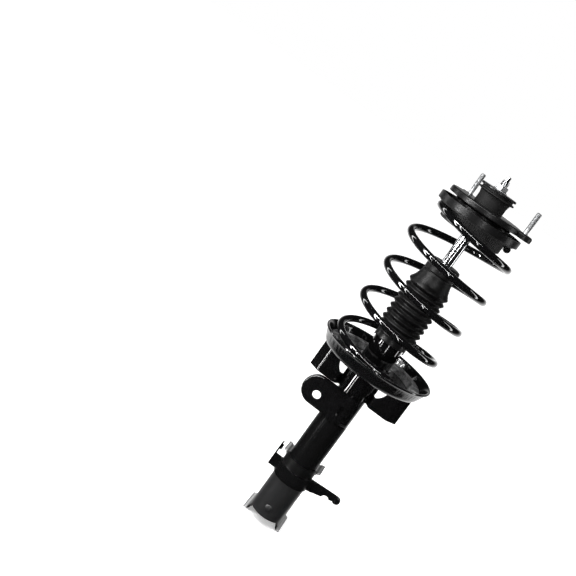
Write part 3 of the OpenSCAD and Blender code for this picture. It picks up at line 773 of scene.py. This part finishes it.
class STRUT_OT_spring(Builder, bpy.types.Operator):
    """Wind the coil spring"""

    bl_idname = "strut.spring"
    bl_label = "Coil spring"

    def build(self, scene):
        s = scene.strut_spring
        low, high = low_z("coil_spring") + s.wire_radius, high_z("coil_spring") - s.wire_radius
        slope_end = s.turned - s.ease_turn
        opening_start, opening_turn = s.flat_turn - math.radians(12), math.radians(168)

        def eased(turn):
            if turn <= 0:
                return 0.0
            return turn * turn / (2 * s.ease_turn) if turn < s.ease_turn else turn - s.ease_turn / 2

        def smooth(x):
            x = min(1.0, max(0.0, x))
            return x * x * (3 - 2 * x)

        bm = bmesh.new()
        steps = 420
        last = None
        for i in range(steps + 1):
            turn = s.turned * i / steps
            fall = (eased(turn - s.flat_turn) - eased(turn - slope_end)) / (slope_end - s.flat_turn)
            opening = smooth((turn - opening_start) / opening_turn)
            radius = s.end_radius + (s.coil_radius - s.end_radius) * opening
            angle = s.start + turn
            lean = s.bow * opening * math.cos(math.pi * fall)
            spot = (radius * math.cos(angle) + lean, radius * math.sin(angle), high - (high - low) * fall)
            vert = bm.verts.new(spot)
            if last:
                bm.edges.new((last, vert))
            last = vert
        mesh = bpy.data.meshes.new("spring_wire")
        bm.to_mesh(mesh)
        bm.free()
        spring = bpy.data.objects.new("spring_wire", mesh)
        scene.collection.objects.link(spring)
        modifier = spring.modifiers.new("round_wire", "NODES")
        modifier.node_group = self.round_wire(s.wire_radius)
        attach(spring, "spring_carrier")
        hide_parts("coil_spring")
        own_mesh(spring)

    def round_wire(self, radius):
        """Gives a chain of edges a round section, which stays round however the chain is bent."""
        group = bpy.data.node_groups.new("round_wire", "GeometryNodeTree")
        group.interface.new_socket("Geometry", in_out="INPUT", socket_type="NodeSocketGeometry")
        group.interface.new_socket("Geometry", in_out="OUTPUT", socket_type="NodeSocketGeometry")
        kinds = (
            "NodeGroupInput", "GeometryNodeMeshToCurve", "GeometryNodeCurveToMesh",
            "GeometryNodeSetMaterial", "NodeGroupOutput",
        )
        chain = [group.nodes.new(kind) for kind in kinds]
        circle = group.nodes.new("GeometryNodeCurvePrimitiveCircle")
        circle.inputs["Resolution"].default_value = 24
        circle.inputs["Radius"].default_value = radius
        chain[2].inputs["Fill Caps"].default_value = True
        chain[3].inputs["Material"].default_value = FINISHES["spring"]
        group.links.new(circle.outputs["Curve"], chain[2].inputs["Profile Curve"])
        for a, b in zip(chain, chain[1:]):
            group.links.new(a.outputs[0], b.inputs[0])
        return group


class STRUT_OT_boot(Builder, bpy.types.Operator):
    """Mould the dust boot and its clip"""

    bl_idname = "strut.boot"
    bl_label = "Dust boot"

    def build(self, scene):
        b = scene.strut_boot
        top, bottom = high_z("dust_boot") / MM, low_z("dust_boot") / MM
        cap, crest, valley, wall = (v / MM for v in (b.cap_radius, b.crest_radius, b.valley_radius, b.wall))
        clip_top = high_z("boot_collar") / MM
        folds_top = top - 43
        skirt, tube_clear, rod_hole = 26.4, 25.1, 10.5
        pitch = (folds_top - clip_top) / b.fold_count
        outer = [
            (cap - 5, top, 0.8), (cap - 1, top - 1.2, 0.8), (cap, top - 4, 1), (cap, top - 18.5, 0.6),
            (cap - 1.4, top - 20.2, 0.6), (cap, top - 21.8, 0.6), (cap + 0.4, top - 27, 1),
            (valley + 0.4, folds_top + 5, 2),
        ]
        for i in range(b.fold_count):
            z = folds_top - i * pitch
            outer += [
                (crest, z - 0.18 * pitch, 0.9), (crest, z - 0.34 * pitch, 0.9),
                (valley, z - 0.80 * pitch, 1.2),
            ]
        outer += [(skirt + 0.6, clip_top + 0.5, 0.8), (skirt, clip_top - 1, 0.4), (skirt, bottom, 0.5)]
        inner = [(max(r - wall, tube_clear), z, c) for r, z, c in reversed(outer[7:])]
        inner += [
            (cap - wall, folds_top + 12, 1), (cap - wall, top - 4, 0.8), (rod_hole, top - 2, 0),
            (rod_hole, top, 0),
        ]
        bm = bmesh.new()
        turned(bm, outer + inner)
        finished("dust_boot_bellows", bm, "boot", "strut_body", ("dust_boot",), 50)
        clip = bmesh.new()
        low = low_z("boot_collar") / MM
        turned(clip, [
            (26.5, low, 0), (27.9, low, 0.5), (28.1, low + 2, 0.6), (27.5, low + 4, 0.8),
            (27.5, clip_top - 4, 0.8), (28.1, clip_top - 2, 0.6), (27.9, clip_top, 0.5),
            (26.5, clip_top, 0),
        ])
        tab_size, tab_place = (1.2 * MM, 5 * MM, 6 * MM), (27.6 * MM, 0, (low - 1.5) * MM)
        for bearing in (-14, 166):
            tab = bmesh.ops.create_cube(clip, size=1)["verts"]
            bmesh.ops.scale(clip, verts=tab, vec=tab_size)
            bmesh.ops.translate(clip, verts=tab, vec=tab_place)
            turn = Matrix.Rotation(math.radians(bearing), 3, "Z")
            bmesh.ops.rotate(clip, verts=tab, cent=(0, 0, 0), matrix=turn)
        finished("boot_clip", clip, "satin", "strut_body", ("boot_collar",))


class STRUT_OT_rod(Builder, bpy.types.Operator):
    """Turn the piston rod with its threaded top, and its nut"""

    bl_idname = "strut.rod"
    bl_label = "Piston rod and nut"

    def build(self, scene):
        m = scene.strut_mount
        pitch, depth, thread = m.thread_pitch / MM, m.thread_depth / MM, m.rod_thread_radius / MM
        top, tail = high_z("piston_rod") / MM, low_z("piston_rod") / MM
        shoulder = low_z("mount_sleeve") / MM
        seat = high_z("top_washer") / MM
        piston_top = high_z("piston") / MM
        rod, root = 9, thread - depth
        key_r, key_h = 3.6, 8
        thread_top = top - 7
        outer = [
            (0, tail, 0), (thread, tail, 0.6), (thread, piston_top, 0), (rod, piston_top, 0.8),
            (rod, shoulder, 1.2), (root, shoulder, 0), (root, seat, 0),
        ]
        bm = bmesh.new()
        top_end = threaded(thread, seat + 0.5, thread_top, pitch, depth)
        turned(bm, outer + top_end + [(0, thread_top, 0)], 64)
        hexagon = hexagonal(bm, key_r, key_h, top - key_h / 2)
        bevelled(bm, top_rim(hexagon, top), 0.7 * MM, 2)
        finished("piston_rod_turned", bm, "chrome", "top_mount", ("piston_rod",))
        self.nut(m, seat, high_z("rod_nut") / MM, thread)

    def nut(self, m, low, high, thread):
        bm = bmesh.new()
        across = m.nut_width / MM
        corner = across / math.sqrt(3)
        flange, waist = 11.4, across / 2 - 1
        turned(bm, [
            (thread, low, 0), (flange, low, 0.4), (flange, low + 1.4, 0.8), (waist, low + 2.8, 0.8),
            (waist, low + 4, 0), (thread, low + 4, 0),
        ], 64)
        body = hexagonal(bm, corner, high - low - 2, (high + low + 2) / 2)
        bevelled(bm, top_rim(body, high), 1.1 * MM, 3)
        finished("rod_nut_hex", bm, "zinc", "top_mount", ("rod_nut",))


class STRUT_OT_studs(Builder, bpy.types.Operator):
    """Turn the two mounting studs"""

    bl_idname = "strut.studs"
    bl_label = "Mounting studs"

    def build(self, scene):
        m = scene.strut_mount
        radius, knurl = m.stud_radius / MM, m.knurl_height / MM
        pitch, depth = m.thread_pitch / MM, m.thread_depth / MM
        bottom, top = low_z("mount_studs") / MM, high_z("mount_studs") / MM
        head, head_top = 6.8, bottom + 2.5
        collar, shank = radius + 0.3, radius - 0.2
        section = [
            (0, bottom, 0), (head, bottom, 0.6), (head, head_top, 0.3), (collar, head_top, 0),
            (collar, 0.6, 0.2), (shank, 1.4, 0), (shank, knurl, 0),
        ]
        bm = bmesh.new()
        for stud in ("stud_front", "stud_rear"):
            x, y, _z = mount_place(stud)
            thread = threaded(radius, knurl + 0.3, top, pitch, depth)
            turned(bm, section + thread + [(0, top, 0)], 40, (x, y, 0))
        finished("mount_studs_turned", bm, "zinc", "top_mount", ("mount_studs",))


class STRUT_OT_top(Builder, bpy.types.Operator):
    """Press the top mount's plate, cup and washer, and mould its rubber"""

    bl_idname = "strut.top"
    bl_label = "Top mount"

    def build(self, scene):
        edge = scene.strut_sheet.edge_round
        satin = ("satin", "top_mount", "satin_black_paint")
        softened("mount_plate_pressed", "mount_plate", *satin, edge, [(at_height(0), 3 * MM)])
        softened("mount_cup_pressed", "mount_cup", *satin, edge)
        softened("mount_rubber_neck", "mount_rubber", "rubber", "top_mount", "mount_rubber", edge)
        softened("top_washer_pressed", "top_washer", *satin, edge)
        softened("upper_race_pressed", "bearing_upper_race", *satin, edge * 0.5)


class STRUT_OT_seats(Builder, bpy.types.Operator):
    """Press the two spring seats and mould the upper insulator"""

    bl_idname = "strut.seats"
    bl_label = "Spring seats"

    def build(self, scene):
        edge = scene.strut_sheet.edge_round
        satin = ("satin", "spring_carrier", "satin_black_paint")
        gloss = ("gloss", "strut_body", "gloss_black_paint")
        softened("upper_seat_pressed", "upper_spring_seat", *satin, edge)
        softened("upper_insulator_hub", "upper_insulator", "hub", "spring_carrier", "mount_rubber", edge)
        self.hub_ribs()
        softened("lower_seat_pressed", "lower_spring_seat", *gloss, edge * 1.5)
        softened("lower_pad", "lower_insulator", "pad", "strut_body", "mount_rubber", edge)

    def hub_ribs(self):
        """Fine upright ribs round the insulator's hub."""
        count, radius = 100, 51.6 * MM
        low, high = low_z("upper_insulator") + 1.5 * MM, low_z("upper_insulator") + 18 * MM
        bm = bmesh.new()
        rib = hexagonal(bm, 0.8, (high - low) / MM, (low + high) / 2 / MM)
        bmesh.ops.translate(bm, verts=rib, vec=(radius, 0, 0))
        bmesh.ops.spin(
            bm, geom=bm.verts[:] + bm.edges[:] + bm.faces[:], cent=(0, 0, 0), axis=UP,
            angle=2 * math.pi * (count - 1) / count, steps=count - 1, use_duplicate=True,
        )
        finished("upper_insulator_ribs", bm, "hub", "spring_carrier")


class STRUT_OT_brackets(Builder, bpy.types.Operator):
    """Press the brackets that are welded to the tube"""

    bl_idname = "strut.brackets"
    bl_label = "Brackets"

    def build(self, scene):
        edge = scene.strut_sheet.edge_round
        gloss = ("gloss", "strut_body", "gloss_black_paint")
        satin = ("strut_body", "satin_black_paint")
        fold_round, rim_round, hole_clear = 3.4 * MM, 3 * MM, 9
        softened("seat_support_bent", "seat_support", *gloss, edge, [(wing_bend, fold_round)])
        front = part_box("stabilizer_bracket")[0].y / MM
        x, _y, z = mount_place("stabilizer_link")
        rim = plate_rim(front, Vector((x / MM, front, z / MM)), hole_clear)
        softened("link_bracket_pressed", "stabilizer_bracket", *gloss, edge, [(rim, rim_round)])
        softened("knuckle_bracket_pressed", "knuckle_bracket", "bracket", *satin, edge, angle=24)
        softened("knuckle_stiffener", "knuckle_reinforcement", "bracket", *satin, edge)
        softened("hose_bracket_pressed", "hose_bracket", "gloss", *satin, edge)
        self.hose_lip()

    def hose_lip(self):
        """The lip that stiffens the hose arm's top edge and curls round its hook."""
        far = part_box("hose_bracket")[1].x / MM
        hook_r, lip, sheet = 7, 4.5, 1.8
        curl_r, curl_steps, first, step = hook_r - 1.0, 12, 82, 22
        hook = Vector((far - hook_r, 0, -510))
        face = Vector((0, -1.2, 0))
        path = [Vector((30, 0, -507)), Vector((50, 0, -505.6)), Vector((70, 0, hook.z + curl_r))]
        for i in range(curl_steps):
            a = math.radians(first - i * step)
            path.append(hook + Vector((math.cos(a), 0, math.sin(a))) * curl_r)
        bm = bmesh.new()
        corners = [bm.verts.new((p + face) * MM) for p in path]
        spine = [bm.edges.new(pair) for pair in zip(corners, corners[1:])]
        drawn = bmesh.ops.extrude_edge_only(bm, edges=spine)["geom"]
        moved = [v for v in drawn if isinstance(v, bmesh.types.BMVert)]
        bmesh.ops.translate(bm, verts=moved, vec=(0, -lip * MM, 0))
        bmesh.ops.solidify(bm, geom=bm.faces[:], thickness=sheet * MM)
        rolled(bm, lambda a, b, angle: angle > 60, 0.5 * MM, 2)
        finished("hose_arm_lip", bm, "gloss", "strut_body")


class STRUT_OT_label(Builder, bpy.types.Operator):
    """Wrap the blank label round the tube"""

    bl_idname = "strut.label"
    bl_label = "Blank label"

    def build(self, scene):
        tube_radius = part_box("reserve_tube")[1].x / MM
        gap, sunk, proud = 4.6, 0.1, 0.12
        top, bottom = low_z("stabilizer_bracket") / MM - gap, -503
        inner, outer = tube_radius - sunk, tube_radius + proud
        bm = bmesh.new()
        turned(bm, [(inner, bottom, 0), (outer, bottom, 0), (outer, top, 0), (inner, top, 0)])
        finished("blank_label", bm, "label", "strut_body")


class STRUT_OT_welds(Builder, bpy.types.Operator):
    """Lay the weld beads"""

    bl_idname = "strut.welds"
    bl_label = "Welds"

    def build(self, scene):
        radius = scene.strut_sheet.bead_radius
        seat = low_z("lower_spring_seat") / MM
        link_low = low_z("stabilizer_bracket") / MM
        bm = bmesh.new()
        seat_arc, link_arc = (25.6, 20, 160), (26.6, -64, -40)
        beaded(bm, arc(*seat_arc, seat - 0.6), radius)
        beaded(bm, arc(*link_arc, link_low + 1.5), radius)
        finished("weld_beads", bm, "weld", "strut_body", (), 80)


# ---- Add-on ----

GROUPS = {
    "strut_mount": MountSizes,
    "strut_spring": SpringSizes,
    "strut_boot": BootSizes,
    "strut_sheet": SheetSizes,
    "strut_colours": FinishColours,
    "strut_stage": StageSettings,
}
OPERATORS = (
    STRUT_OT_stage,
    STRUT_OT_finishes,
    STRUT_OT_spring,
    STRUT_OT_boot,
    STRUT_OT_rod,
    STRUT_OT_studs,
    STRUT_OT_top,
    STRUT_OT_seats,
    STRUT_OT_brackets,
    STRUT_OT_label,
    STRUT_OT_welds,
)


class STRUT_PT_panel(bpy.types.Panel):
    bl_idname = "STRUT_PT_panel"
    bl_label = "Suspension strut"
    bl_space_type = "VIEW_3D"
    bl_region_type = "UI"
    bl_category = "Strut"

    def draw(self, context):
        for operator in OPERATORS:
            self.layout.operator(operator.bl_idname)
        for name, group in GROUPS.items():
            box = self.layout.box()
            for prop in group.__annotations__:
                box.prop(getattr(context.scene, name), prop)


CLASSES = (*GROUPS.values(), *OPERATORS, STRUT_PT_panel)


def register():
    for cls in CLASSES:
        bpy.utils.register_class(cls)
    for name, group in GROUPS.items():
        setattr(bpy.types.Scene, name, PointerProperty(type=group))


def unregister():
    for name in GROUPS:
        delattr(bpy.types.Scene, name)
    for cls in reversed(CLASSES):
        bpy.utils.unregister_class(cls)


def main():
    register()
    for operator in OPERATORS:
        family, name = operator.bl_idname.split(".")
        getattr(getattr(bpy.ops, family), name)()


if __name__ == "__main__":
    main()
